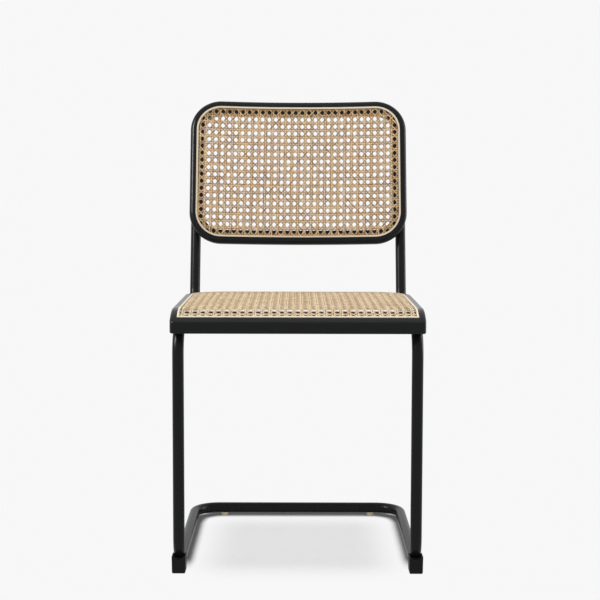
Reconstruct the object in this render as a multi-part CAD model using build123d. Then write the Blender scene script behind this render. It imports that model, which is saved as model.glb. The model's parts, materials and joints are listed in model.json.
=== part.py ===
from build123d import *
import math
import os

# Cantilever dining chair: one bent steel tube carries a wooden seat frame and a
# wooden backrest frame, each filled with woven cane held in a groove by a spline.
# Millimetres, +Z up, the sitter faces -Y. Left is -X and right is +X, as seen from
# the front. While it is built, Y = 0 is the plane of the front legs and Z = 0 the floor.

# Seat frame
seat_width = 438.0
seat_depth = 415.0
seat_front_overhang = 22.0
seat_rail_width = 27.0
seat_front_rail_width = 40.0
seat_rail_height = 24.0
seat_roll_start = 40.0
seat_roll_radius = 107.0
front_rail_drop = 7.5
seat_front_corner = 9.0
seat_rear_corner = 77.0
seat_top_edge = 4.0
seat_front_edge = 3.0
seat_dowel_diameter = 6.0
seat_dowel_length = 28.0
seat_dowel_spacing = 14.0
seat_dowel_rise = 20.5

# Backrest frame
back_overhang = 12.0
back_height = 296.5
back_rail_width = 27.0
back_rail_thickness = 22.0
back_corner = 63.0
back_curve_radius = 1500.0
back_centre_height = 274.75
back_edge = 9.5
back_dowel_diameter = 6.0
back_dowel_length = 28.0
back_dowel_spacing = 12.0

# Steel tube
tube_outer = 20.0
tube_wall = 2.0
bend_radius = 48.0
tube_inset = 13.0
tube_groove = 2.0
leg_to_rear_bar = 422.0
seat_to_upright = 5.0
seat_run_height = 427.0
recline_angle = 15.0
upright_setback = 57.0

# Feet, glides and end plugs
floor_gap = 5.0
foot_wall = 2.1
foot_height = 30.0
foot_dip = 5.0
foot_length = 30.0
foot_sole_width = 23.2
foot_toe_radius = 4.0
foot_edge_radius = 2.5
glide_diameter = 15.5
glide_inset = 10.0
glide_wrap = 1.0
glide_stem_diameter = 6.0
glide_stem_length = 7.0
plug_head_height = 4.0
plug_head_edge = 2.5
plug_stem_length = 14.0

# Cane and the groove that holds it
seat_border = 12.0
back_border = 12.8
spline_width = 3.4
spline_depth = 5.4
spline_crown = 0.8
cane_thickness = 1.8
cane_skirt = 1.2
cane_tuck = 5.0
groove_depth = 6.0
net_gap = 11.5
seat_net_pitch = 24.0
back_net_pitch = 21.0

# Screws, washers and threaded inserts
screw_diameter = 6.0
screw_head_diameter = 11.0
screw_head_height = 3.2
screw_socket_width = 4.0
screw_socket_depth = 1.8
screw_grip = 9.0
washer_diameter = 14.0
washer_thickness = 2.0
insert_diameter = 9.5
insert_length = 10.0
insert_hole_depth = 11.0
front_screw_from_leg = 95.0
rear_screw_from_upright = 78.0
upper_screw_from_end = 36.0
lower_screw_from_bottom = 73.0

# Clearances
fit_gap = 0.1
hole_gap = 0.3
sharp_corner = 0.6

# Places worked out from the sizes above
tube_radius = tube_outer / 2
side_x = seat_width / 2 - tube_inset
back_width = 2 * (side_x + back_overhang)
runner_height = floor_gap + tube_radius
seat_front = -seat_front_overhang
seat_back = seat_front + seat_depth
seat_middle = seat_front + seat_depth / 2
seat_joint = seat_front + seat_front_rail_width
leg_to_upright = seat_back + seat_to_upright
rail_underside = seat_run_height + tube_radius - tube_groove
front_rail_bottom = seat_run_height - front_rail_drop
seat_top = rail_underside + seat_rail_height
upright_length = back_centre_height + back_height / 2 - upright_setback
groove_width = spline_width + cane_skirt + 3 * fit_gap
recess_depth = cane_thickness + fit_gap
sides = {"left": -side_x, "right": side_x}
on_top = (Align.CENTER, Align.CENTER, Align.MIN)
below = (Align.CENTER, Align.CENTER, Align.MAX)
room = seat_width + seat_depth + back_height

# Frames that lean with the uprights: x across, y to the rear, z up along the tube
lean = math.radians(recline_angle)
upright_frame = Plane(
    origin=(0, leg_to_upright, seat_run_height),
    x_dir=(1, 0, 0),
    z_dir=(0, math.sin(lean), math.cos(lean)),
)
back_frame = upright_frame.offset(back_centre_height)
upright_end = upright_frame.from_local_coords(Vector(0, 0, upright_length))


# Centre line of the tube, from the left upright's end round to the right one's
def tube_path():
    half = [
        (upright_end.Y, upright_end.Z),
        (leg_to_upright, seat_run_height),
        (0, seat_run_height),
        (0, runner_height),
        (leg_to_rear_bar, runner_height),
    ]
    left = [(-side_x, y, z) for y, z in half]
    right = [(side_x, y, z) for y, z in reversed(half)]
    return FilletPolyline(*left, *right, radius=bend_radius)


def along_tube(section):
    path = tube_path()
    start = Plane(origin=path @ 0, z_dir=path % 0)
    return sweep(start * section, path=path)


# Space that the wood and the feet leave free for the tube and for its end plugs
tube_space = along_tube(Circle(tube_radius + fit_gap))
for plug_x in sides.values():
    plug_space = Cylinder(tube_radius + fit_gap, 2 * (plug_head_height + hole_gap))
    tube_space += upright_frame.location * Pos(plug_x, 0, upright_length) * plug_space


# Screw places have their origin on the tube's axis, y along it and z into the wood
def seat_screw_places():
    rows = (front_screw_from_leg, leg_to_upright - rear_screw_from_upright)
    return [Pos(x, y, seat_run_height) for x in sides.values() for y in rows]


def back_screw_places():
    rows = (
        lower_screw_from_bottom - back_height / 2,
        upright_length - upper_screw_from_end - back_centre_height,
    )
    lying = Rot(90, 0, 0)
    return [back_frame.location * Pos(x, 0, z) * lying for x in sides.values() for z in rows]


def make_screws(places):
    under_head = -(tube_radius + washer_thickness + fit_gap)
    head = Pos(0, 0, under_head) * Cylinder(
        screw_head_diameter / 2, screw_head_height, align=below
    )
    head = fillet(head.edges().sort_by(Axis.Z)[0], screw_head_height / 2)
    socket = RegularPolygon(screw_socket_width / 2, 6, major_radius=False)
    head -= Pos(0, 0, under_head - screw_head_height) * extrude(socket, screw_socket_depth)
    shank_length = tube_radius + screw_grip - under_head
    shank = Pos(0, 0, under_head) * Cylinder(screw_diameter / 2, shank_length, align=on_top)
    return group([place * (head + shank) for place in places])


def make_washers(places):
    """Saddle washers, flat under the screw head and hollowed to the tube."""
    washer = Pos(0, 0, -tube_radius - washer_thickness) * Cylinder(
        washer_diameter / 2, washer_thickness + tube_radius / 2, align=on_top
    )
    washer -= Rot(90, 0, 0) * Cylinder(tube_radius + fit_gap, 2 * washer_diameter)
    washer -= Cylinder(screw_diameter / 2 + hole_gap, 4 * tube_radius)
    return group([place * washer for place in places])


def make_inserts(places):
    base = tube_radius + fit_gap
    insert = Pos(0, 0, base) * Cylinder(insert_diameter / 2, insert_length, align=on_top)
    insert -= Cylinder(screw_diameter / 2 + fit_gap, 4 * (base + insert_length))
    return group([place * insert for place in places])


def insert_hole():
    depth = tube_radius + fit_gap + insert_hole_depth
    return Cylinder(insert_diameter / 2 + fit_gap, depth, align=on_top)


def dowel(diameter, length):
    return Cylinder(diameter / 2, length)


def dowel_hole(diameter, length):
    return Cylinder(diameter / 2 + fit_gap, length + 2 * fit_gap)


def group(solids):
    return Compound([solid.solid() for solid in solids])


# Steel tube with its screw holes and the holes for the glides
def make_tube_frame():
    frame = along_tube(Circle(tube_radius) - Circle(tube_radius - tube_wall))
    for place in seat_screw_places() + back_screw_places():
        frame -= place * Cylinder(screw_diameter / 2 + hole_gap, 2 * tube_outer)
    for place in glide_places():
        stem_hole = Cylinder(glide_stem_diameter / 2 + fit_gap, tube_outer)
        frame -= place * Pos(0, 0, floor_gap) * stem_hole
    return frame


def make_end_plug(x):
    head = Pos(0, 0, fit_gap) * Cylinder(tube_radius, plug_head_height, align=on_top)
    head = fillet(head.edges().sort_by(Axis.Z)[-1], plug_head_edge)
    bore = tube_radius - tube_wall
    stem = Pos(0, 0, fit_gap) * Cylinder(bore - fit_gap, plug_stem_length, align=below)
    return upright_frame.location * Pos(x, 0, upright_length) * (head + stem)


# Moulded front foot: a block that narrows to its sole and dips along the middle of its
# top, fitted round the lower bend
def make_front_foot(x):
    top = tube_radius + foot_wall
    sole = foot_sole_width / 2
    profile = Pos(-top, 0) * Rectangle(foot_length, foot_height, align=Align.MIN)
    toe = profile.vertices().group_by(Axis.X)[0].sort_by(Axis.Y)[0]
    profile = fillet(toe, foot_toe_radius)
    block = extrude(Plane.YZ * profile, top, both=True)
    front_view = Polygon((-sole, 0), (sole, 0), (top, foot_height), (-top, foot_height), align=None)
    block &= extrude(Plane.XZ * front_view, room, both=True)
    front_edges = block.faces().sort_by(Axis.Y)[0].edges()
    uprights = [edge for edge in front_edges if abs(edge.tangent_at(0.5).Z) > 0.5]
    foot = fillet(uprights, foot_edge_radius)
    dip_radius = (tube_radius**2 + foot_dip**2) / (2 * foot_dip)
    dip = Rot(90, 0, 0) * Cylinder(dip_radius, 2 * foot_length)
    foot -= Pos(0, 0, foot_height - foot_dip + dip_radius) * dip
    return Pos(x, 0, 0) * foot - tube_space


def glide_places():
    x = side_x - bend_radius - glide_inset
    return [Pos(-x, leg_to_rear_bar, 0), Pos(x, leg_to_rear_bar, 0)]


# Pad under the rear bar, hollowed to the tube, with a stem pushed into the bar
def make_rear_glide(place):
    pad = Cylinder(glide_diameter / 2, floor_gap + glide_wrap, align=on_top)
    tube = Rot(0, 90, 0) * Cylinder(tube_radius + fit_gap, 2 * glide_diameter)
    pad -= Pos(0, 0, runner_height) * tube
    stem = Cylinder(glide_stem_diameter / 2, floor_gap + glide_stem_length, align=on_top)
    return place * (pad + stem)


# Side view of the seat's top, lowered by depth: level, then rolling over in front
def seat_surface(depth):
    level = seat_top - depth
    reach = seat_front - seat_top_edge
    turn = math.degrees(math.asin((seat_roll_start - reach) / seat_roll_radius))
    roll = CenterArc((seat_roll_start, level - seat_roll_radius), seat_roll_radius, 90, turn)
    flat = Line((seat_roll_start, level), (seat_back + seat_rail_width, level))
    return roll, flat


def seat_layer_face(upper, lower):
    upper_roll, upper_flat = seat_surface(upper)
    lower_roll, lower_flat = seat_surface(lower)
    front = Line(upper_roll @ 1, lower_roll @ 1)
    back = Line(upper_flat @ 1, lower_flat @ 1)
    return make_face([upper_roll, upper_flat, back, lower_flat, lower_roll, front])


def seat_layer(upper, lower):
    return extrude(Plane.YZ * seat_layer_face(upper, lower), seat_width, both=True)


# Plan of the seat, drawn in by inset: small corners in front, large ones behind
def seat_outline(inset):
    plan = Pos(0, seat_middle) * Rectangle(seat_width - 2 * inset, seat_depth - 2 * inset)
    front_corners = plan.vertices().group_by(Axis.Y)[0]
    plan = fillet(front_corners, max(seat_front_corner - inset, sharp_corner))
    rear_corners = plan.vertices().group_by(Axis.Y)[-1]
    return fillet(rear_corners, max(seat_rear_corner - inset, sharp_corner))


# Plan of the seat's opening, between the front rail and the bent rim
def seat_opening():
    front_rail = Rectangle(room, room, align=(Align.CENTER, Align.MAX))
    return seat_outline(seat_rail_width) - Pos(0, seat_joint) * front_rail


def seat_column(plan):
    return extrude(plan, 2 * seat_top)


def seat_ring(outer_inset, inner_inset, upper, lower):
    plan = seat_outline(outer_inset) - seat_outline(inner_inset)
    return seat_layer(upper, lower) & seat_column(plan)


# Solid seat blank: level below on the tubes, hanging lower behind its front face
def make_seat_blank():
    face = seat_layer_face(0, room)
    face -= Pos(seat_middle, front_rail_bottom) * Rectangle(
        room, 2 * room, align=(Align.CENTER, Align.MAX)
    )
    face -= Pos(bend_radius, rail_underside) * Rectangle(
        room, room, align=(Align.MIN, Align.MAX)
    )
    bend_middle = seat_run_height - bend_radius
    face -= Pos(bend_radius, bend_middle) * Circle(rail_underside - bend_middle)
    slab = extrude(Plane.YZ * face, seat_width, both=True)
    blank = slab & seat_column(seat_outline(0))
    blank = fillet(upper_rim(blank), seat_top_edge)
    lower_front = blank.edges().filter_by(Axis.X).group_by(Axis.Z)[0].sort_by(Axis.Y)[0]
    return fillet(lower_front, seat_front_edge)


def upper_rim(blank):
    """Edges round the seat's top, without the line across it where the roll begins."""
    tops = blank.faces().filter_by(lambda face: face.normal_at().Z > fit_gap)
    edges = [edge for face in tops for edge in face.edges()]
    return [edge for edge in edges if abs(edge.center().Y - seat_roll_start) > fit_gap]


def seat_dowel_places():
    middle = front_rail_bottom + seat_dowel_rise
    across = (-seat_dowel_spacing / 2, seat_dowel_spacing / 2)
    lying = Rot(90, 0, 0)
    return [Pos(x + dx, seat_joint, middle) * lying for x in sides.values() for dx in across]


def make_seat_frame():
    frame = make_seat_blank() - seat_column(seat_opening())
    groove_end = seat_border + groove_width
    frame -= seat_ring(seat_border, groove_end, -seat_rail_height, groove_depth)
    frame -= seat_layer(-seat_rail_height, recess_depth) & seat_column(seat_outline(groove_end))
    frame -= tube_space
    for place in seat_screw_places():
        frame -= place * insert_hole()
    for place in seat_dowel_places():
        frame -= place * dowel_hole(seat_dowel_diameter, seat_dowel_length)
    return frame


# Parts a seat piece into what lies ahead of a line across the seat and what lies behind
def part_across(piece, line):
    ahead = Pos(0, line, 0) * Box(room, room, 4 * room, align=(Align.CENTER, Align.MAX, Align.CENTER))
    return piece & ahead, piece - ahead


# Face of a net: the outline with round gaps in rows and columns that fill the opening
def net_face(outline, middle, opening_width, opening_length, pitch):
    columns = int(opening_width / pitch)
    rows = int(opening_length / pitch)
    gaps = [
        Pos(0, middle) * place * Circle(net_gap / 2)
        for place in GridLocations(pitch, pitch, columns, rows)
    ]
    return outline - gaps


def make_seat_cane():
    edge = seat_border + spline_width + 2 * fit_gap
    opening_width = seat_width - 2 * seat_rail_width
    opening_depth = seat_depth - seat_rail_width - seat_front_rail_width
    middle = seat_joint + opening_depth / 2
    net = net_face(seat_outline(edge), middle, opening_width, opening_depth, seat_net_pitch)
    panel = seat_layer(0, cane_thickness) & seat_column(net)
    return panel + seat_ring(edge, edge + cane_skirt, 0, cane_tuck)


def make_seat_spline():
    outer = seat_border + fit_gap
    return seat_ring(outer, outer + spline_width, -spline_crown, spline_depth)


# Backrest in its own leaning frame, upright here, hollow towards the sitter
back_rear_radius = back_curve_radius + back_rail_thickness
stile_rear = tube_groove - tube_radius
back_curve_middle = stile_rear - math.sqrt(back_rear_radius**2 - side_x**2)


def back_layer(front, rear):
    """Curved sheet of the backrest between two depths behind its front face."""
    band = Circle(back_curve_radius + rear) - Circle(back_curve_radius + front)
    band = Pos(0, back_curve_middle) * band
    near = Rectangle(2 * back_width, 2 * back_curve_radius, align=(Align.CENTER, Align.MIN))
    return extrude(band & Pos(0, back_curve_middle) * near, back_height, both=True)


def back_outline(inset):
    corner = max(back_corner - inset, sharp_corner)
    return RectangleRounded(back_width - 2 * inset, back_height - 2 * inset, corner)


def back_column(plan):
    return extrude(Plane.XZ * plan, room, both=True)


def back_ring(outer_inset, inner_inset, front, rear):
    plan = back_outline(outer_inset) - back_outline(inner_inset)
    return back_layer(front, rear) & back_column(plan)


def back_dowel_places():
    stile = back_width / 2 - back_rail_width / 2
    depth = stile_rear - back_rail_thickness / 2
    across = (-back_dowel_spacing / 2, back_dowel_spacing / 2)
    return [Pos(x + dx, depth, 0) for x in (-stile, stile) for dx in across]


def make_back_frame():
    blank = back_layer(0, back_rail_thickness) & back_column(back_outline(0))
    rims = [edge for edge in blank.edges() if not runs_through(edge)]
    blank = fillet(rims, back_edge)
    frame = blank - back_column(back_outline(back_rail_width))
    groove_end = back_border + groove_width
    frame -= back_ring(back_border, groove_end, -back_rail_thickness, groove_depth)
    frame -= back_ring(groove_end, back_rail_width, -back_rail_thickness, recess_depth)
    for place in back_dowel_places():
        frame -= place * dowel_hole(back_dowel_diameter, back_dowel_length)
    frame = back_frame.location * frame - tube_space
    for place in back_screw_places():
        frame -= place * insert_hole()
    return frame


def runs_through(edge):
    """True for an edge that runs from the backrest's front face to its rear one."""
    return abs((edge @ 1).Y - (edge @ 0).Y) > back_rail_thickness / 2


# Parts the backrest frame at half height into its upper and its lower bow
def part_bows(frame):
    upper_half = back_frame.location * Box(2 * room, 2 * room, 2 * room, align=on_top)
    return frame & upper_half, frame - upper_half


def make_back_cane():
    edge = back_border + spline_width + 2 * fit_gap
    opening_width = back_width - 2 * back_rail_width
    opening_height = back_height - 2 * back_rail_width
    net = net_face(back_outline(edge), 0, opening_width, opening_height, back_net_pitch)
    panel = back_layer(0, cane_thickness) & back_column(net)
    panel += back_ring(edge, edge + cane_skirt, 0, cane_tuck)
    return back_frame.location * panel


def make_back_spline():
    outer = back_border + fit_gap
    ring = back_ring(outer, outer + spline_width, -spline_crown, spline_depth)
    return back_frame.location * ring


# Whole chair, piece by piece
pieces = {"tube_frame": make_tube_frame()}
for side, x in sides.items():
    pieces[side + "_tube_end_plug"] = make_end_plug(x)
    pieces[side + "_front_foot"] = make_front_foot(x)
for side, place in zip(sides, glide_places()):
    pieces[side + "_rear_glide"] = make_rear_glide(place)

front_rail, bent_rim = part_across(make_seat_frame(), seat_joint)
pieces["seat_front_rail"] = front_rail
pieces["seat_bent_rim"] = bent_rim
seat_dowels = [place * dowel(seat_dowel_diameter, seat_dowel_length) for place in seat_dowel_places()]
pieces["seat_corner_dowels"] = group(seat_dowels)
pieces["seat_cane"] = make_seat_cane()
spline_joint = seat_front + seat_border + fit_gap + spline_width
front_spline, rim_spline = part_across(make_seat_spline(), spline_joint)
pieces["seat_front_spline"] = front_spline
pieces["seat_rim_spline"] = rim_spline
pieces["seat_screws"] = make_screws(seat_screw_places())
pieces["seat_screw_washers"] = make_washers(seat_screw_places())
pieces["seat_screw_inserts"] = make_inserts(seat_screw_places())

upper_bow, lower_bow = part_bows(make_back_frame())
pieces["backrest_upper_bow"] = upper_bow
pieces["backrest_lower_bow"] = lower_bow
back_dowels = [
    back_frame.location * place * dowel(back_dowel_diameter, back_dowel_length)
    for place in back_dowel_places()
]
pieces["backrest_joint_dowels"] = group(back_dowels)
pieces["backrest_cane"] = make_back_cane()
pieces["backrest_spline"] = make_back_spline()
pieces["backrest_screws"] = make_screws(back_screw_places())
pieces["backrest_screw_washers"] = make_washers(back_screw_places())
pieces["backrest_screw_inserts"] = make_inserts(back_screw_places())

# The origin is on the floor, under the middle of the whole chair's box
boxes = [piece.bounding_box() for piece in pieces.values()]
front_reach = min(box.min.Y for box in boxes)
rear_reach = max(box.max.Y for box in boxes)
to_origin = Pos(0, -(front_reach + rear_reach) / 2, 0)

os.makedirs("parts", exist_ok=True)
for name, piece in pieces.items():
    export_step(to_origin * piece, f"parts/{name}.step")
    print(f"{name}: {piece.volume / 1000:.1f} cm3")
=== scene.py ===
# %% [markdown]
# # Cantilever chair with a cane seat and a cane back
# One bent steel tube makes both floor runners, both legs, both seat runs and both uprights.
# It carries a black wooden seat frame and a black wooden backrest frame. Both frames are
# filled with six-way cane, pressed into a groove by a reed spline.
# Everything is in metres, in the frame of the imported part: the floor is at height zero and
# the sitter faces the camera, towards negative Y. Only the cane is worked out in millimetres.

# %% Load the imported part
import json
import math
import bpy
import numpy as np
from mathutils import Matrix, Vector


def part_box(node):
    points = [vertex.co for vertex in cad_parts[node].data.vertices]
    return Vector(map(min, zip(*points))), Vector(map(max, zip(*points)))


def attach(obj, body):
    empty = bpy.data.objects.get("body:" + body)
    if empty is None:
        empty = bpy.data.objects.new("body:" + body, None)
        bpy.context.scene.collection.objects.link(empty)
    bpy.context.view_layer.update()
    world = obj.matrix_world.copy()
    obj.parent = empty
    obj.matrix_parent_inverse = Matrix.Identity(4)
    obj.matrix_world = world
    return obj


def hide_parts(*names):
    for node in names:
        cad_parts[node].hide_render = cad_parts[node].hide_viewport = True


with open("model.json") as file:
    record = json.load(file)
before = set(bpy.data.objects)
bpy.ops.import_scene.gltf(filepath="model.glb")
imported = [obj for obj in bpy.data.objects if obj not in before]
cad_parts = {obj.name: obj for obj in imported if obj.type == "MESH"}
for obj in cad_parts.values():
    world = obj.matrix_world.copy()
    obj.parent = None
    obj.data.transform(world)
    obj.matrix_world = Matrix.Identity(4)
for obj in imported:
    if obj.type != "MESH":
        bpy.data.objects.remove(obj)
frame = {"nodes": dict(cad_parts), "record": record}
scene = bpy.context.scene
scene.view_settings.view_transform = "Standard"
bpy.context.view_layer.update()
nodes = frame["nodes"]
print("CAD nodes:", len(nodes))

# %% [markdown]
# ## Camera
# The chair is seen from the front, a little above the seat and looking slightly down. A short
# lens close by would spread the legs apart, so a long lens stands about two and a half metres
# away: the seat shows as a thin band and the backrest nearly square.

# %% Camera
LENS_MM = 84.1
SENSOR_MM = 36.0
FRAME_SHIFT = 0.0030
CAMERA_PLACE = (0.0, -2.6352, 0.683)
DOWN_DEGREES = 4.95
ROLL_DEGREES = -0.12

camera_data = bpy.data.cameras.new("camera")
camera_data.lens = LENS_MM
camera_data.sensor_width = SENSOR_MM
camera_data.shift_x = FRAME_SHIFT
camera = bpy.data.objects.new("camera", camera_data)
camera.location = CAMERA_PLACE
camera.rotation_euler = (math.radians(90 - DOWN_DEGREES), math.radians(ROLL_DEGREES), 0.0)
scene.collection.objects.link(camera)
scene.camera = camera
print("camera at", CAMERA_PLACE)

# %% [markdown]
# ## Surroundings
# The chair stands before a white sheet. The sheet could be a curved mesh, but a plain world
# colour has no fold or edge to hide. Black satin shows mostly what it mirrors, so mirrored
# rays see the same white as the camera: the finishes below are nearly black, and this
# reflection gives them their tone. Scattered light comes from the same room at a plainer
# level. The Light Path node tells these kinds of ray apart.


# %% Helpers for shader nodes
def wire(tree, source, target):
    tree.links.new(source, target)


def new_node(tree, kind, **values):
    node = tree.nodes.new(kind)
    for name, value in values.items():
        setattr(node, name, value)
    return node


def seen_straight(tree):
    """1 for a ray from the camera, from a mirror or through glass, and 0 for scattered light."""
    path = new_node(tree, "ShaderNodeLightPath")
    glass = new_node(tree, "ShaderNodeMath", operation="MAXIMUM")
    mirror = new_node(tree, "ShaderNodeMath", operation="MAXIMUM")
    wire(tree, path.outputs["Is Camera Ray"], glass.inputs[0])
    wire(tree, path.outputs["Is Transmission Ray"], glass.inputs[1])
    wire(tree, glass.outputs["Value"], mirror.inputs[0])
    wire(tree, path.outputs["Is Glossy Ray"], mirror.inputs[1])
    return mirror.outputs["Value"]


print("helpers: wire, new_node, seen_straight")

# %% Surroundings
WHITE = 0.935
ROOM_COLOUR = (0.7, 0.7, 0.71, 1)

world = bpy.data.worlds.new("surroundings")
scene.world = world
world.use_nodes = True
world_tree = world.node_tree
world_tree.nodes.clear()
sheet = new_node(world_tree, "ShaderNodeBackground")
sheet.inputs["Color"].default_value = (WHITE, WHITE, WHITE, 1)
room = new_node(world_tree, "ShaderNodeBackground")
room.inputs["Color"].default_value = ROOM_COLOUR
either = new_node(world_tree, "ShaderNodeMixShader")
world_out = new_node(world_tree, "ShaderNodeOutputWorld")
wire(world_tree, seen_straight(world_tree), either.inputs["Fac"])
wire(world_tree, room.outputs["Background"], either.inputs[1])
wire(world_tree, sheet.outputs["Background"], either.inputs[2])
wire(world_tree, either.outputs["Shader"], world_out.inputs["Surface"])
print("sheet white:", WHITE)

# %% [markdown]
# ## Floor
# The floor has the same white as the sheet, so that only shade shows on it. It could catch
# shadows for a second picture laid over the first, but one material does the same without:
# most of it glows in the sheet's white, and under the seat a matt white is mixed in, which
# takes the real light and shadow. Outside the floor loop the floor is clear. The side edges
# of the loop's area lie under the runners, where they don't show.

# %% Floor sheet
FLOOR_REACH = 4.0
BELOW_FEET = 0.0002
FLOOR_CORNERS = [(-1, -1), (1, -1), (1, 1), (-1, 1)]

floor_mesh = bpy.data.meshes.new("floor")
corner_places = [(FLOOR_REACH * x, FLOOR_REACH * y, 0) for x, y in FLOOR_CORNERS]
floor_mesh.from_pydata(corner_places, [], [(0, 1, 2, 3)])
floor = bpy.data.objects.new("floor", floor_mesh)
floor.location.z = -BELOW_FEET
scene.collection.objects.link(floor)
print("floor reaches", FLOOR_REACH, "m to each side")

# %% Helpers for the floor's areas
floor_look = bpy.data.materials.new("studio_floor")
floor_look.use_nodes = True
floor_tree = floor_look.node_tree
floor_tree.nodes.clear()


def feed(socket, value):
    """Sets a socket to a number, or links another socket to it."""
    if isinstance(value, float):
        socket.default_value = value
    else:
        wire(floor_tree, value, socket)


def smooth_range(value, low, high):
    """Goes smoothly from 0 at low to 1 at high, where either may be the larger."""
    node = new_node(floor_tree, "ShaderNodeMapRange", interpolation_type="SMOOTHSTEP")
    feed(node.inputs["Value"], value)
    feed(node.inputs["From Min"], low)
    feed(node.inputs["From Max"], high)
    return node.outputs["Result"]


def work(operation, first, second):
    node = new_node(floor_tree, "ShaderNodeMath", operation=operation)
    feed(node.inputs[0], first)
    feed(node.inputs[1], second)
    return node.outputs["Value"]


print("helpers: feed, smooth_range, work")

# %% Floor areas
LOOP_SIDE = (0.214, 0.204)
LOOP_REAR = (0.26, 0.21)
LOOP_FRONT = (-0.36, -0.2)
SHADE_SIDE = (0.205, 0.1)
SHADE_REAR = (0.19, 0.05)
SHADE_FRONT = (-0.34, -0.15)

place = new_node(floor_tree, "ShaderNodeTexCoord")
parts = new_node(floor_tree, "ShaderNodeSeparateXYZ")
wire(floor_tree, place.outputs["Object"], parts.inputs["Vector"])
rightward = parts.outputs["X"]
backward = parts.outputs["Y"]
aside = work("ABSOLUTE", rightward, 0.0)


def area(side, rear, front):
    """1 well inside the four soft edges of an area, and 0 outside them."""
    strip = work("MULTIPLY", smooth_range(aside, *side), smooth_range(backward, *rear))
    return work("MULTIPLY", strip, smooth_range(backward, *front))


inside_loop = area(LOOP_SIDE, LOOP_REAR, LOOP_FRONT)
under_seat = area(SHADE_SIDE, SHADE_REAR, SHADE_FRONT)
print("floor loop", 2 * LOOP_SIDE[0], "m wide, shade", 2 * SHADE_SIDE[0], "m wide")

# %% [markdown]
# ## Crease between floor and tube
# Where the tube nearly meets the floor, light hardly gets in and a narrow dark line shows. It
# could be drawn on by hand, but the Ambient Occlusion node measures how open each place of
# the floor is, so the line follows the tubes by itself. The line is wider beside the left
# runner, because the light comes from the left, narrower before the rear bar, wider behind
# it, and fades out towards the front feet.

# %% Crease
CREASE_REACH = 0.025
CREASE_RAYS = 16
CREASE_DARK = 0.9
LEFT_HALF = (0.1, -0.1)
RUNNER_END = (0.17, 0.11)
BEFORE_BAR = (0.12, 0.16)
BEHIND_BAR = (0.178, 0.192)
BEND_SIDE = (0.15, 0.18)
BEND_START = (0.1, 0.15)
FRONT_FADE = (-0.235, -0.15)
DARKEST_OPENNESS = 0.45
CLEAR_OPENNESS = 0.9
WIDER_LEFT = 0.15
NARROWER_BEFORE_BAR = 0.15
WIDER_BEHIND_BAR = 0.55
WIDER_FADE_BEHIND_BAR = 0.08
BEND_SHARE = 0.32

openness = new_node(floor_tree, "ShaderNodeAmbientOcclusion", samples=CREASE_RAYS)
openness.inputs["Distance"].default_value = CREASE_REACH
on_left = smooth_range(rightward, *LEFT_HALF)
on_left = work("MULTIPLY", on_left, smooth_range(backward, *RUNNER_END))
before_bar = smooth_range(backward, *BEFORE_BAR)
at_bend = work("MULTIPLY", smooth_range(aside, *BEND_SIDE), smooth_range(backward, *BEND_START))
behind_bar = smooth_range(backward, *BEHIND_BAR)
behind_bar = work("MAXIMUM", behind_bar, work("MULTIPLY", at_bend, BEND_SHARE))
darkest = work("ADD", DARKEST_OPENNESS, work("MULTIPLY", on_left, WIDER_LEFT))
darkest = work("SUBTRACT", darkest, work("MULTIPLY", before_bar, NARROWER_BEFORE_BAR))
darkest = work("ADD", darkest, work("MULTIPLY", behind_bar, WIDER_BEHIND_BAR))
clearest = work("ADD", CLEAR_OPENNESS, work("MULTIPLY", behind_bar, WIDER_FADE_BEHIND_BAR))
crease = work("SUBTRACT", 1.0, smooth_range(openness.outputs["AO"], darkest, clearest))
crease = work("MULTIPLY", crease, smooth_range(backward, *FRONT_FADE))
print("crease looks", CREASE_REACH, "m around")

# %% [markdown]
# ## Floor material
# The matt white has faint flecks, as paper has. The glowing white is dimmed by the crease. The
# two are mixed by the shade's area, and only the matt one sends scattered light to the chair.

# %% Floor material
FLOOR_WHITE = 0.74
FLECK_LEVEL = 0.995
FLECK_WHITE = FLOOR_WHITE * FLECK_LEVEL
FLECK_SCALE = 40.0
SHADE_SHARE = 0.47

flecks = new_node(floor_tree, "ShaderNodeTexNoise")
flecks.inputs["Scale"].default_value = FLECK_SCALE
paper = new_node(floor_tree, "ShaderNodeMix", data_type="RGBA")
paper.inputs["A"].default_value = (FLECK_WHITE, FLECK_WHITE, FLECK_WHITE, 1)
paper.inputs["B"].default_value = (FLOOR_WHITE, FLOOR_WHITE, FLOOR_WHITE, 1)
wire(floor_tree, flecks.outputs["Fac"], paper.inputs["Factor"])
matt = new_node(floor_tree, "ShaderNodeBsdfDiffuse")
wire(floor_tree, paper.outputs["Result"], matt.inputs["Color"])
undimmed = work("SUBTRACT", 1.0, work("MULTIPLY", crease, CREASE_DARK))
glow = new_node(floor_tree, "ShaderNodeEmission")
wire(floor_tree, work("MULTIPLY", undimmed, WHITE), glow.inputs["Strength"])
unshaded = work("SUBTRACT", 1.0, work("MULTIPLY", under_seat, SHADE_SHARE))
both_whites = new_node(floor_tree, "ShaderNodeMixShader")
wire(floor_tree, work("MULTIPLY", unshaded, seen_straight(floor_tree)), both_whites.inputs["Fac"])
wire(floor_tree, matt.outputs["BSDF"], both_whites.inputs[1])
wire(floor_tree, glow.outputs["Emission"], both_whites.inputs[2])
clear = new_node(floor_tree, "ShaderNodeBsdfTransparent")
fade = new_node(floor_tree, "ShaderNodeMixShader")
wire(floor_tree, inside_loop, fade.inputs["Fac"])
wire(floor_tree, clear.outputs["BSDF"], fade.inputs[1])
wire(floor_tree, both_whites.outputs["Shader"], fade.inputs[2])
floor_out = new_node(floor_tree, "ShaderNodeOutputMaterial")
wire(floor_tree, fade.outputs["Shader"], floor_out.inputs["Surface"])
floor_mesh.materials.append(floor_look)
print("floor nodes:", len(floor_tree.nodes))

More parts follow.
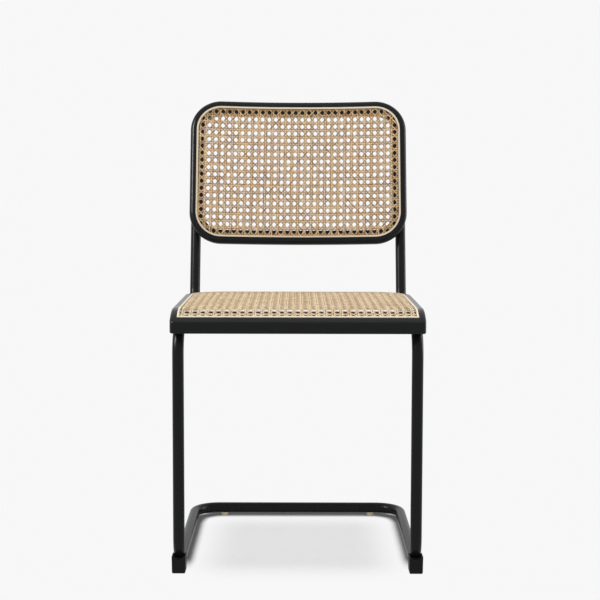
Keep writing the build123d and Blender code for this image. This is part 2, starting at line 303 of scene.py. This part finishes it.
# %% [markdown]
# ## Light
# A high soft box to the left and ahead and a tall narrow one to the right and behind draw the
# thin bright lines along the tubes and rounded edges: only mirrored rays see them. The light
# that falls on the chair comes evenly from the white room and from a large box above, because
# a strong lamp from one side would throw a hard shadow that a soft studio doesn't have.

# %% Soft boxes
# Each box has its place, its width and height, its power in watts, and whether it is for shine.
SOFT_BOXES = {
    "left_box": ((-2.35, -1.0, 2.1), (0.5, 1.1), 110.0, True),
    "right_box": ((2.3, 0.75, 1.1), (0.2, 1.8), 28.0, True),
    "top_box": ((0.0, -0.06, 3.0), (1.4, 1.4), 50.0, False),
}
AIM = Vector((0.0, 0.0, 0.5))

for name, (where, size, power, shine) in SOFT_BOXES.items():
    lamp_data = bpy.data.lights.new(name, "AREA")
    lamp_data.shape = "RECTANGLE"
    lamp_data.size, lamp_data.size_y = size
    lamp_data.energy = power
    lamp = bpy.data.objects.new(name, lamp_data)
    lamp.location = where
    lamp.visible_glossy = shine
    lamp.visible_diffuse = not shine
    lamp.rotation_euler = (AIM - Vector(where)).to_track_quat("-Z", "Y").to_euler()
    scene.collection.objects.link(lamp)
print("soft boxes:", ", ".join(SOFT_BOXES))

# %% [markdown]
# ## Shared effects
# Powder coat, moulded plastic, metal and cane all have a fine unevenness that breaks up their
# reflections. Wood and reed have a grain instead, which can be drawn out into streaks. Each
# could be wired anew in every material, but a node group is built once and placed where it is
# needed, with its own size and height each time.


# %% Helpers for shader groups
def new_group(name, ins, outs):
    group = bpy.data.node_groups.new(name, "ShaderNodeTree")
    for label, kind, value in ins:
        socket = group.interface.new_socket(label, in_out="INPUT", socket_type=kind)
        socket.default_value = value
    for label, kind in outs:
        group.interface.new_socket(label, in_out="OUTPUT", socket_type=kind)
    return group, group.nodes.new("NodeGroupInput"), group.nodes.new("NodeGroupOutput")


def put_out_grain(group, given, result, grain):
    """Puts out a group's grain as a mask and, at its own height, as a bumpy normal."""
    bump = new_node(group, "ShaderNodeBump")
    bump.inputs["Strength"].default_value = 1.0
    wire(group, grain.outputs["Fac"], bump.inputs["Height"])
    wire(group, given.outputs["Height"], bump.inputs["Distance"])
    wire(group, bump.outputs["Normal"], result.inputs["Normal"])
    wire(group, grain.outputs["Fac"], result.inputs["Mask"])


GRAIN_OUTS = [("Normal", "NodeSocketVector"), ("Mask", "NodeSocketFloat")]
print("a grain puts out:", ", ".join(label for label, kind in GRAIN_OUTS))


# %% Unevenness
def make_unevenness():
    group, given, result = new_group(
        "unevenness",
        [("Scale", "NodeSocketFloat", 600.0), ("Height", "NodeSocketFloat", 0.00002)],
        GRAIN_OUTS,
    )
    place = new_node(group, "ShaderNodeTexCoord")
    grain = new_node(group, "ShaderNodeTexNoise")
    grain.inputs["Detail"].default_value = 2.0
    wire(group, place.outputs["Object"], grain.inputs["Vector"])
    wire(group, given.outputs["Scale"], grain.inputs["Scale"])
    put_out_grain(group, given, result, grain)
    return group


UNEVENNESS = make_unevenness()
print("group:", UNEVENNESS.name)


# %% Streaks
def make_streaks():
    group, given, result = new_group(
        "streaks",
        [
            ("Stretch", "NodeSocketVector", (40.0, 500.0, 500.0)),
            ("Height", "NodeSocketFloat", 0.00003),
        ],
        GRAIN_OUTS,
    )
    place = new_node(group, "ShaderNodeTexCoord")
    drawn = new_node(group, "ShaderNodeVectorMath", operation="MULTIPLY")
    grain = new_node(group, "ShaderNodeTexNoise")
    grain.inputs["Scale"].default_value = 1.0
    grain.inputs["Detail"].default_value = 3.0
    wire(group, place.outputs["Object"], drawn.inputs[0])
    wire(group, given.outputs["Stretch"], drawn.inputs[1])
    wire(group, drawn.outputs["Vector"], grain.inputs["Vector"])
    put_out_grain(group, given, result, grain)
    return group


STREAKS = make_streaks()
print("group:", STREAKS.name)

# %% [markdown]
# ## Powder-coated tube
# The tube's satin black is baked-on powder, which keeps a very fine orange-peel surface. One
# flat colour would look like a drawing, so two near blacks are blended by the unevenness,
# which also roughens the shine.


# %% Helpers for finishes, and the tube's finish
def new_look(name, rough, metal=0.0, gloss=0.5):
    look = bpy.data.materials.new(name)
    look.use_nodes = True
    tree = look.node_tree
    shader = tree.nodes["Principled BSDF"]
    shader.inputs["Roughness"].default_value = rough
    shader.inputs["Metallic"].default_value = metal
    shader.inputs["Specular IOR Level"].default_value = gloss
    return look, tree, shader


def grained_look(name, group, grain, dark, light, rough, metal=0.0, gloss=0.5):
    """Blends two tones by the mask of a shared effect, which also gives the normal."""
    look, tree, shader = new_look(name, rough, metal, gloss)
    effect = new_node(tree, "ShaderNodeGroup", node_tree=group)
    for label, value in grain.items():
        effect.inputs[label].default_value = value
    blend = new_node(tree, "ShaderNodeMix", data_type="RGBA")
    blend.inputs["A"].default_value = (*dark, 1)
    blend.inputs["B"].default_value = (*light, 1)
    wire(tree, effect.outputs["Mask"], blend.inputs["Factor"])
    wire(tree, blend.outputs["Result"], shader.inputs["Base Color"])
    wire(tree, effect.outputs["Normal"], shader.inputs["Normal"])
    return look


LOOKS = {}
LOOKS["black_tube"] = grained_look(
    "black_powder_coat",
    UNEVENNESS,
    {"Scale": 900.0, "Height": 0.00001},
    dark=(0.0075, 0.0081, 0.0079),
    light=(0.0115, 0.0124, 0.0121),
    rough=0.3,
    gloss=0.1,
)
print("finish:", LOOKS["black_tube"].name)

# %% [markdown]
# ## Moulded plastic
# The front feet and the end plugs are moulded in black plastic with a dull, grainy skin. The
# rear glides are pale plastic. It may let a little light through on the real chair, but the
# glides are small and lie in shade, so an opaque pale colour shows the same.

# %% Plastic finishes
LOOKS["black_plastic"] = grained_look(
    "black_moulded_plastic",
    UNEVENNESS,
    {"Scale": 1500.0, "Height": 0.00002},
    dark=(0.007, 0.0075, 0.0073),
    light=(0.011, 0.0117, 0.0114),
    rough=0.55,
    gloss=0.08,
)
LOOKS["pale_plastic"] = grained_look(
    "pale_moulded_plastic",
    UNEVENNESS,
    {"Scale": 500.0, "Height": 0.00001},
    dark=(0.62, 0.54, 0.36),
    light=(0.72, 0.64, 0.46),
    rough=0.4,
)
print("finishes:", LOOKS["black_plastic"].name, LOOKS["pale_plastic"].name)

# %% [markdown]
# ## Wood and reed
# The frames are beech, stained black and lacquered, so that the grain shows only faintly in
# the shine. The dowels inside them are bare beech. The splines are reed, pale and dry.
# A picture of grain would need a map and would repeat, so noise stands for it: drawn out
# across the chair's width for the frames, along the seat's dowels for the bare beech, and
# even in all directions for the reed, which bends round the frames.

# %% Wood and reed finishes
LOOKS["black_wood"] = grained_look(
    "black_stained_beech",
    STREAKS,
    {"Stretch": (25.0, 260.0, 260.0), "Height": 0.00002},
    dark=(0.0064, 0.0068, 0.0069),
    light=(0.0121, 0.0128, 0.0131),
    rough=0.24,
    gloss=0.12,
)
LOOKS["plain_beech"] = grained_look(
    "bare_beech",
    STREAKS,
    {"Stretch": (300.0, 30.0, 300.0), "Height": 0.00004},
    dark=(0.52, 0.34, 0.2),
    light=(0.64, 0.46, 0.3),
    rough=0.6,
)
LOOKS["reed_spline"] = grained_look(
    "reed",
    STREAKS,
    {"Stretch": (220.0, 220.0, 220.0), "Height": 0.00005},
    dark=(0.59, 0.49, 0.36),
    light=(0.77, 0.68, 0.54),
    rough=0.5,
)
print("finishes:", LOOKS["black_wood"].name, LOOKS["plain_beech"].name, LOOKS["reed_spline"].name)

# %% [markdown]
# ## Screws and inserts
# Screws and washers are black plated steel, and the threaded inserts in the wood are brass.
# Metal colours its own reflections, which the Metallic value gives.

# %% Metal finishes
LOOKS["black_steel"] = grained_look(
    "black_plated_steel",
    UNEVENNESS,
    {"Scale": 1200.0, "Height": 0.00001},
    dark=(0.02, 0.02, 0.021),
    light=(0.035, 0.035, 0.037),
    rough=0.35,
    metal=0.9,
)
LOOKS["insert_brass"] = grained_look(
    "plain_brass",
    UNEVENNESS,
    {"Scale": 1200.0, "Height": 0.00001},
    dark=(0.6, 0.44, 0.18),
    light=(0.72, 0.56, 0.27),
    rough=0.32,
    metal=1.0,
)
print("finishes:", LOOKS["black_steel"].name, LOOKS["insert_brass"].name)

# %% [markdown]
# ## Dressing the CAD pieces
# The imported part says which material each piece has, so a loop puts every finish in place and
# nothing is listed twice. The two cane nets get no finish, because woven strips replace them.

# %% Put the finishes on
slot_of = {sub["node"]: sub["material_slot"] for sub in frame["record"]["subparts"]}
dressed = 0
for name, node in nodes.items():
    look = LOOKS.get(slot_of[name])
    if look:
        node.data.materials.clear()
        node.data.materials.append(look)
        dressed += 1
print("dressed", dressed, "of", len(nodes), "CAD pieces")

# %% [markdown]
# ## Six-way cane
# Real cane webbing is woven from strips of rattan bark in six directions: pairs of strips run
# lengthways and crossways and interlace where they cross, and single strips run along both
# diagonals. The diagonals cross each other midway between the crossings, one above a pair and
# the other below it, and leave eight-sided gaps. A picture on a flat sheet would look right
# only from the front. So each strip is a real band with a flat underside and a rounded upper
# face, which rises and falls as it passes over and under.
# The lattice counts crossings: whole numbers are crossings and halves are gap middles.

# %% Courses of the strips
PAIR_OFFSET = 1.75
PAIR_RISE = 0.75
HALF_GAP = 0.5
CROSSINGS_EACH_WAY = 40


def lengthways_strip(number, side, pitch):
    column = number + side * PAIR_OFFSET / pitch[0]
    return lambda steps: (0 * steps + column, steps, side * PAIR_RISE * np.sin(2 * np.pi * steps))


def crossways_strip(number, side, pitch):
    row = number + side * PAIR_OFFSET / pitch[1]
    return lambda steps: (steps, 0 * steps + row, -side * PAIR_RISE * np.sin(2 * np.pi * steps))


def rising_strip(number):
    return lambda steps: (steps, steps - number - HALF_GAP, np.cos(2 * np.pi * steps))


def falling_strip(number):
    return lambda steps: (steps, number + HALF_GAP - steps, -np.cos(2 * np.pi * steps))


def strips(direction, pitch):
    """All strips of a direction, each a function from steps along it to column, row and height."""
    numbers = range(-CROSSINGS_EACH_WAY, CROSSINGS_EACH_WAY + 1)
    if direction == "lengthways":
        return [lengthways_strip(number, side, pitch) for number in numbers for side in (-1, 1)]
    if direction == "crossways":
        return [crossways_strip(number, side, pitch) for number in numbers for side in (-1, 1)]
    if direction == "rising":
        return [rising_strip(number) for number in numbers]
    return [falling_strip(number) for number in numbers]


print("the strips of a pair lie", 2 * PAIR_OFFSET, "mm apart")

# %% [markdown]
# ## The two panels
# Each panel has a surface and an outline. The seat is level and rolls over in front. The
# back is hollow towards the sitter and leans with the uprights. The surfaces could be read
# off the CAD nets, but a few sizes and two formulas give them without any mesh in between.
# A place on a panel is counted in millimetres to the right and onward: to the rear on the
# seat, and upward on the back.

# %% Outlines
SEAT_OUTLINE = {"half": 203.4, "low": -6.4, "high": 377.4, "low_corner": 0.6, "high_corner": 61.4}
BACK_OUTLINE = {"half": 201.6, "low": -131.85, "high": 131.85, "low_corner": 46.6, "high_corner": 46.6}


def inside(outline, right, onward):
    """Distance inside a rectangle with its own corner radius at each end, positive within."""
    middle = (outline["low"] + outline["high"]) / 2
    radius = np.where(onward < middle, outline["low_corner"], outline["high_corner"])
    past_side = np.abs(right) - (outline["half"] - radius)
    past_end = np.abs(onward - middle) - ((outline["high"] - outline["low"]) / 2 - radius)
    corner = np.hypot(np.maximum(past_side, 0), np.maximum(past_end, 0))
    return radius - corner - np.minimum(np.maximum(past_side, past_end), 0)


print("seat cane", 2 * SEAT_OUTLINE["half"], "mm wide, back cane", 2 * BACK_OUTLINE["half"], "mm wide")

# %% Seat surface
MM = 0.001
SEAT_TOP = 459.0
ROLL_START = 40.0
ROLL_RADIUS = 107.0
LEG_TO_MIDDLE = SEAT_OUTLINE["high"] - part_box("seat_cane")[1].y / MM


def seat_plan(right, onward):
    """Where a point of the seat's surface lies as seen from above."""
    turn = np.clip((ROLL_START - onward) / ROLL_RADIUS, 0, math.pi / 2)
    rear = np.where(onward < ROLL_START, ROLL_START - ROLL_RADIUS * np.sin(turn), onward)
    return right, rear


def seat_place(right, onward, depth):
    """Points of the seat's surface at a depth below it, with the surface's upward direction."""
    turn = np.maximum(ROLL_START - onward, 0) / ROLL_RADIUS
    radius = ROLL_RADIUS - depth
    rear = np.where(onward < ROLL_START, ROLL_START - radius * np.sin(turn), onward)
    height = SEAT_TOP - ROLL_RADIUS + radius * np.cos(turn)
    up = np.stack([0 * right, -np.sin(turn), np.cos(turn)], 1)
    return np.stack([right, rear - LEG_TO_MIDDLE, height], 1), up


print("the legs stand", round(LEG_TO_MIDDLE, 1), "mm before the chair's middle")

# %% Back surface
BACK_RADIUS = 1500.0
BACK_THICK = 22.0
STILE_REAR = -8.0
TUBE_SIDE = 206.0
LEG_TO_UPRIGHT = 398.0
SEAT_RUN_HEIGHT = 427.0
BACK_CENTRE_HEIGHT = 274.75
LEAN = math.radians(15.0)
BACK_CURVE_MIDDLE = STILE_REAR - math.sqrt((BACK_RADIUS + BACK_THICK)**2 - TUBE_SIDE**2)
BACK_MIDDLE_Y = LEG_TO_UPRIGHT - LEG_TO_MIDDLE + BACK_CENTRE_HEIGHT * math.sin(LEAN)
BACK_MIDDLE_Z = SEAT_RUN_HEIGHT + BACK_CENTRE_HEIGHT * math.cos(LEAN)


def back_plan(right, onward):
    """Where a point of the backrest's surface lies as seen from straight ahead of it."""
    return BACK_RADIUS * np.sin(right / BACK_RADIUS), onward


def back_place(right, onward, depth):
    """Points of the backrest's front at a depth behind it, with the direction to the sitter."""
    turn = right / BACK_RADIUS
    radius = BACK_RADIUS + depth
    behind = BACK_CURVE_MIDDLE + radius * np.cos(turn)
    rear = BACK_MIDDLE_Y + behind * math.cos(LEAN) + onward * math.sin(LEAN)
    height = BACK_MIDDLE_Z - behind * math.sin(LEAN) + onward * math.cos(LEAN)
    ahead = -np.cos(turn) * math.cos(LEAN)
    upward = np.cos(turn) * math.sin(LEAN)
    facing = np.stack([-np.sin(turn), ahead, upward], 1)
    return np.stack([radius * np.sin(turn), rear, height], 1), facing


print("backrest middle at height", round(BACK_MIDDLE_Z, 1), "mm")

# %% Panels
# The pitch is the distance between crossings, the shift moves the lattice by a share of it,
# and the skew is the weave's slight slant.
SEAT = {
    "pitch": (13.6, 13.9),
    "shift": (0.5, 0.04),
    "skew": 0.0,
    "outline": SEAT_OUTLINE,
    "plan": seat_plan,
    "place": seat_place,
}
BACK = {
    "pitch": (13.4, 14.6),
    "shift": (0.0, -0.005),
    "skew": 0.012,
    "outline": BACK_OUTLINE,
    "plan": back_plan,
    "place": back_place,
}
print("pitch of the seat", SEAT["pitch"], "and of the back", BACK["pitch"])

# %% [markdown]
# ## Laying the strips
# Every strip is followed across the lattice, cut where it leaves the outline, and turned down
# at its ends into the groove, under the spline. A few extra samples near the ends keep the
# turn sharp. Its width and its place vary a little from strip to strip, as split bark does.

# %% One strip's course
STRIP_THICK = 0.6
MIDDLE_LAYER = 1.5
STEPS_PER_GAP = 6
SEARCH_REACH = 60
SEARCH_STEP = 0.02
FEWEST_SAMPLES = 40
END_STEP = 0.05
END_SAMPLES = 2
TURN_DOWN = 0.8
TURN_DEPTH = 3.2


def on_panel(panel, strip, steps):
    """Places of a strip on its panel, in millimetres, with its height in the weave."""
    column, row, height = strip(steps)
    onward = (row + panel["shift"][1]) * panel["pitch"][1]
    right = (column + panel["shift"][0]) * panel["pitch"][0] + panel["skew"] * onward
    deep = inside(panel["outline"], *panel["plan"](right, onward))
    return right, onward, height, deep


def strip_samples(panel, strip):
    """Steps along a strip from where it enters the panel to where it leaves it, or None."""
    steps = np.arange(-SEARCH_REACH, SEARCH_REACH, SEARCH_STEP)
    within = np.nonzero(on_panel(panel, strip, steps)[3] > 0)[0]
    if len(within) < FEWEST_SAMPLES:
        return None
    first = steps[within[0]]
    last = steps[within[-1]]
    count = int((last - first) * STEPS_PER_GAP) + 1
    ends = END_STEP * np.arange(1, END_SAMPLES + 1)
    return np.sort(np.concatenate([np.linspace(first, last, count + 1), first + ends, last - ends]))


def lay_strip(panel, strip, slip, width):
    """One strip inside the panel: its points, half width, thickness and distance along, or None."""
    steps = strip_samples(panel, strip)
    if steps is None:
        return None
    right, onward, height, deep = on_panel(panel, strip, steps)
    if np.median(deep) < TURN_DOWN:
        return None
    drop = TURN_DEPTH * np.clip(1 - deep / TURN_DOWN, 0, 1)
    points, up = panel["place"](right, onward, STRIP_THICK * (MIDDLE_LAYER - height) + drop)
    ahead = np.gradient(points, axis=0)
    ahead /= np.linalg.norm(ahead, axis=1)[:, None]
    side = np.cross(ahead, up)
    side /= np.linalg.norm(side, axis=1)[:, None]
    up = np.cross(side, ahead)
    run = np.concatenate([[0], np.cumsum(np.linalg.norm(np.diff(points, axis=0), axis=1))])
    return points + side * slip, side * width / 2, up * STRIP_THICK, run


print("a strip has", STEPS_PER_GAP, "steps from crossing to crossing")

# %% Strips of one direction
STRIP_WIDE = 2.2
DIAGONAL_WIDE = 2.4
WIDTH_RANGE = (0.93, 1.07)
SLIP = 0.1
LATEST_START = 400


def lay_strips(panel, direction, seed):
    """All strips of one direction, each with its own tone and its own stretch of bark."""
    rng = np.random.default_rng(seed)
    wide = DIAGONAL_WIDE if direction in ("rising", "falling") else STRIP_WIDE
    bands = []
    for strip in strips(direction, panel["pitch"]):
        slip = rng.normal(0, SLIP)
        width = wide * rng.uniform(*WIDTH_RANGE)
        tone = rng.uniform(0, 1)
        start = rng.uniform(0, LATEST_START)
        laid = lay_strip(panel, strip, slip, width)
        if laid:
            bands.append((*laid, tone, start))
    return bands


print("strips", STRIP_WIDE, "mm wide, diagonals", DIAGONAL_WIDE, "mm,", STRIP_THICK, "mm thick")

# %% [markdown]
# ## Bands from strips
# A strip's cross-section is swept along its course and closed at both ends. A curve with a
# bevel could do this too, but a mesh made in one go is quicker for hundreds of strips, and
# each point can carry its strip's tone, its nearness to an edge and its distance along. The
# flat map gives every band its own row, with a small spot at either end for the end face.

# %% Faces and map of one band
# The section's corners, in half widths and thicknesses, and how much each lies at an edge.
SECTION = [(-0.8, -0.5), (0.8, -0.5), (1.0, 0.0), (0.5, 0.42), (-0.5, 0.42), (-1.0, 0.0)]
# How much a corner lies at an edge sets how much of the edge tone it takes, which is partly painted shade.
EDGES = [0.2, 0.2, 1.0, 0.0, 0.0, 1.0]
CORNERS = len(SECTION)
ROW_MARGIN = 0.04
ROW_FILL = 0.92
MAP_START = 0.002
MAP_LENGTH = 0.99
MAP_END = 0.995
SPOT_LONG = 0.001
SPOT_HIGH = 0.3


def band_faces(first, count):
    """Corners of one closed band's faces, and their places along and round it for its map."""
    ring, corner = np.meshgrid(np.arange(count - 1), np.arange(CORNERS), indexing="ij")
    near = first + ring * CORNERS
    far = first + (ring + 1) * CORNERS
    following = (corner + 1) % CORNERS
    quads = np.stack([near + corner, near + following, far + following, far + corner], -1)
    rings = np.stack([ring, ring, ring + 1, ring + 1], -1).reshape(-1)
    turns = np.stack([corner, corner + 1, corner + 1, corner], -1).reshape(-1)
    start = [first + number for number in reversed(range(CORNERS))]
    end = [first + (count - 1) * CORNERS + number for number in range(CORNERS)]
    return quads.reshape(-1, 4).tolist() + [start, end], rings, turns


def band_map(row, rows, along, longest, turns):
    """Places of one band's face corners on the flat map: the sides, then both ends."""
    high = (row + ROW_MARGIN + ROW_FILL * turns / CORNERS) / rows
    sides = np.stack([MAP_START + MAP_LENGTH * along / longest, high], 1)
    angle = np.linspace(0, 2 * np.pi, CORNERS, endpoint=False)
    spot = np.stack([np.cos(angle) * SPOT_LONG, np.sin(angle) * SPOT_HIGH / rows], 1)
    middle = (row + 0.5) / rows
    return [sides, spot + (MAP_START, middle), spot + (MAP_END, middle)]


print("a band has", CORNERS, "corners round its section")


# %% Woven piece
def build_strips(name, panel, direction, look, cad_node, seed):
    """Makes all strips of one direction as one piece, in place of the CAD net."""
    bands = lay_strips(panel, direction, seed)
    longest = max(band[3][-1] for band in bands)
    verts, faces, places = [], [], []
    values = {"tone": [], "edge": [], "along": []}
    total = 0
    for row, (points, side, up, run, tone, start) in enumerate(bands):
        count = len(points)
        rings = [points + side * wide + up * thick for wide, thick in SECTION]
        verts.append(np.stack(rings, 1).reshape(-1, 3) * MM)
        corners, steps, turns = band_faces(total, count)
        faces += corners
        places += band_map(row, len(bands), run[steps], longest, turns)
        values["tone"].append(np.full(count * CORNERS, tone))
        values["edge"].append(np.tile(EDGES, count))
        values["along"].append(np.repeat((run + start) * MM, CORNERS))
        total += count * CORNERS
    mesh = bpy.data.meshes.new(name)
    mesh.from_pydata(np.concatenate(verts).tolist(), [], faces)
    for label, found in values.items():
        mesh.attributes.new(label, "FLOAT", "POINT").data.foreach_set("value", np.concatenate(found))
    mesh.uv_layers.new(name="OFBake").uv.foreach_set("vector", np.concatenate(places).ravel())
    mesh.polygons.foreach_set("use_smooth", [True] * len(mesh.polygons))
    mesh.materials.append(look)
    piece = bpy.data.objects.new(name, mesh)
    scene.collection.objects.link(piece)
    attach(piece, "root")
    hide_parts(cad_node)
    print(name, ":", len(bands), "strips,", len(faces), "faces")


# %% [markdown]
# ## Bark of the cane
# Rattan bark is clouded along its length, darker at its split edges, and crossed by a dark
# knot now and then. The darker edges come from the edge tone of the cane finishes, which is
# also painted shade. A picture of it would look the same on every strip. Seat and back share
# the clouds and knots, so these are a group: the tone of a strip sets it apart from its
# neighbours, and the distance along it places the clouds and the knots.

# %% Bark
CLOUDS_APART = 90.0
CLOUD_SCALE = 45.0
CLOUD_DETAIL = 3.0
TONE_SHARE = 0.35
KNOTS_PER_METRE = 4.2
KNOT_SHARE = 0.008


def make_bark():
    group, given, result = new_group(
        "bark",
        [("Tone", "NodeSocketFloat", 0.5), ("Along", "NodeSocketFloat", 0.0)],
        [("Mask", "NodeSocketFloat"), ("Knot", "NodeSocketFloat")],
    )
    apart = new_node(group, "ShaderNodeMath", operation="MULTIPLY")
    apart.inputs[1].default_value = CLOUDS_APART
    join = new_node(group, "ShaderNodeCombineXYZ")
    cloud = new_node(group, "ShaderNodeTexNoise", noise_dimensions="2D")
    cloud.inputs["Scale"].default_value = CLOUD_SCALE
    cloud.inputs["Detail"].default_value = CLOUD_DETAIL
    wire(group, given.outputs["Tone"], apart.inputs[0])
    wire(group, given.outputs["Along"], join.inputs["X"])
    wire(group, apart.outputs["Value"], join.inputs["Y"])
    wire(group, join.outputs["Vector"], cloud.inputs["Vector"])
    mixed = new_node(group, "ShaderNodeMath", operation="MULTIPLY_ADD")
    mixed.inputs[1].default_value = TONE_SHARE
    wire(group, given.outputs["Tone"], mixed.inputs[0])
    wire(group, cloud.outputs["Fac"], mixed.inputs[2])
    wire(group, mixed.outputs["Value"], result.inputs["Mask"])
    phase = new_node(group, "ShaderNodeMath", operation="MULTIPLY_ADD")
    phase.inputs[1].default_value = KNOTS_PER_METRE
    wire(group, given.outputs["Along"], phase.inputs[0])
    wire(group, given.outputs["Tone"], phase.inputs[2])
    part = new_node(group, "ShaderNodeMath", operation="FRACT")
    wire(group, phase.outputs["Value"], part.inputs[0])
    knot = new_node(group, "ShaderNodeMath", operation="LESS_THAN")
    knot.inputs[1].default_value = KNOT_SHARE
    wire(group, part.outputs["Value"], knot.inputs[0])
    wire(group, knot.outputs["Value"], result.inputs["Knot"])
    return group


BARK = make_bark()
print("group:", BARK.name)

# %% [markdown]
# ## Cane finishes
# The seat and the back are the same cane. The seat is seen at a low angle, and its paler,
# more even tones are a painted sheen. The back is seen against the white sheet, and its
# darker edges round every gap are painted shade as well as the bark's darker split edges.
# So each has its own two tones and its own edge tone, which is multiplied in at the edges
# of the strips.

# %% Cane finishes
CANE_ROUGH = 0.48
CANE_GLOSS = 0.06
CANE_GRAIN = {"Scale": 900.0, "Height": 0.00004}
DARK_UP_TO = 0.35
LIGHT_FROM = 0.95
KNOT_COLOUR = (0.24, 0.14, 0.07, 1)


def strip_value(tree, label):
    """A value that the strips carry at every point."""
    return new_node(tree, "ShaderNodeAttribute", attribute_name=label).outputs["Fac"]


def cane_look(name, dark, light, edge_and_shade_tone):
    look, tree, shader = new_look(name, CANE_ROUGH, gloss=CANE_GLOSS)
    bark = new_node(tree, "ShaderNodeGroup", node_tree=BARK)
    wire(tree, strip_value(tree, "tone"), bark.inputs["Tone"])
    wire(tree, strip_value(tree, "along"), bark.inputs["Along"])
    ramp = new_node(tree, "ShaderNodeValToRGB")
    stops = ramp.color_ramp.elements
    stops[0].position = DARK_UP_TO
    stops[0].color = (*dark, 1)
    stops[1].position = LIGHT_FROM
    stops[1].color = (*light, 1)
    wire(tree, bark.outputs["Mask"], ramp.inputs["Fac"])
    # The edge tone darkens the strips' edges: partly the bark's darker split edges, partly painted shade.
    split_edges_and_painted_shade = new_node(tree, "ShaderNodeMix", data_type="RGBA", blend_type="MULTIPLY")
    split_edges_and_painted_shade.inputs["B"].default_value = (*edge_and_shade_tone, 1)
    wire(tree, strip_value(tree, "edge"), split_edges_and_painted_shade.inputs["Factor"])
    wire(tree, ramp.outputs["Color"], split_edges_and_painted_shade.inputs["A"])
    knots = new_node(tree, "ShaderNodeMix", data_type="RGBA")
    knots.inputs["B"].default_value = KNOT_COLOUR
    wire(tree, bark.outputs["Knot"], knots.inputs["Factor"])
    wire(tree, split_edges_and_painted_shade.outputs["Result"], knots.inputs["A"])
    wire(tree, knots.outputs["Result"], shader.inputs["Base Color"])
    effect = new_node(tree, "ShaderNodeGroup", node_tree=UNEVENNESS)
    for label, value in CANE_GRAIN.items():
        effect.inputs[label].default_value = value
    wire(tree, effect.outputs["Normal"], shader.inputs["Normal"])
    return look


# The seat's paler, more even tones are a painted sheen from its low angle.
SEAT_LOOK = cane_look(
    "seat_cane_painted_sheen",
    dark=(0.54, 0.38, 0.21),
    light=(0.81, 0.7, 0.52),
    edge_and_shade_tone=(0.66, 0.54, 0.4),
)
# The back's dark edge tone is painted shade round the gaps, on top of the bark's darker edges.
BACK_LOOK = cane_look(
    "back_cane_painted_shade",
    dark=(0.3, 0.16, 0.06),
    light=(0.84, 0.62, 0.36),
    edge_and_shade_tone=(0.2, 0.1, 0.04),
)
print("finishes:", SEAT_LOOK.name, BACK_LOOK.name)

# %% [markdown]
# ## Weaving both panels
# Seat and back are woven direction by direction, so that each direction is one piece. Each
# piece has its own seed, so its small differences are the same in every run.

# %% Weave the seat and the back
DIRECTIONS = ("lengthways", "crossways", "rising", "falling")
SEAT_SEED = 11
BACK_SEED = 21

for number, direction in enumerate(DIRECTIONS):
    build_strips("seat_cane_" + direction, SEAT, direction, SEAT_LOOK, "seat_cane", SEAT_SEED + number)
    build_strips("back_cane_" + direction, BACK, direction, BACK_LOOK, "backrest_cane", BACK_SEED + number)
